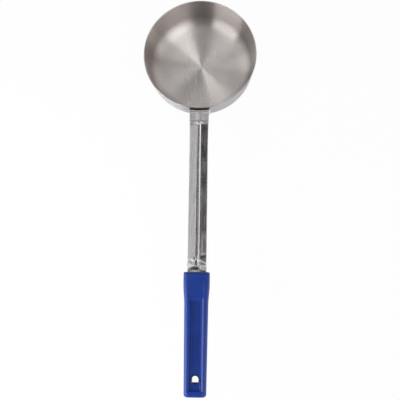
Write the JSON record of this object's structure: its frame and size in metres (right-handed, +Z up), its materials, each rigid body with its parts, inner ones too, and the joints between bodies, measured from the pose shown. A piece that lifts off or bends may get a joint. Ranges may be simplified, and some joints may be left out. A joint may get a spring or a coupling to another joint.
{
  "type": "flat-bottomed sauce ladle",
  "caption": "Flat-bottomed stainless ladle that portions and spreads sauce, with a grooved strip handle welded to the bowl's wall and a moulded blue grip with a hang hole.",
  "frame": {"origin": "centre of the bowl's flat underside", "axes": "+Z up along the bowl's axis, the handle runs along -Y, +X to the right of someone holding the grip"},
  "size_m": [0.102, 0.3484, 0.0582],
  "materials": {
    "bowl_steel": "spun stainless, rings round the bowl's axis",
    "shank_steel": "pressed stainless, polished with faint streaks along the handle",
    "weld_steel": "fused stainless, dull",
    "grip_plastic": "blue moulded polypropylene, fine satin grain"
  },
  "bodies": {
    "root": {"bowl": "bowl_steel", "shank": "shank_steel", "spot_weld_left": "weld_steel", "spot_weld_right": "weld_steel", "grip": "grip_plastic"}
  },
  "joints": []
}
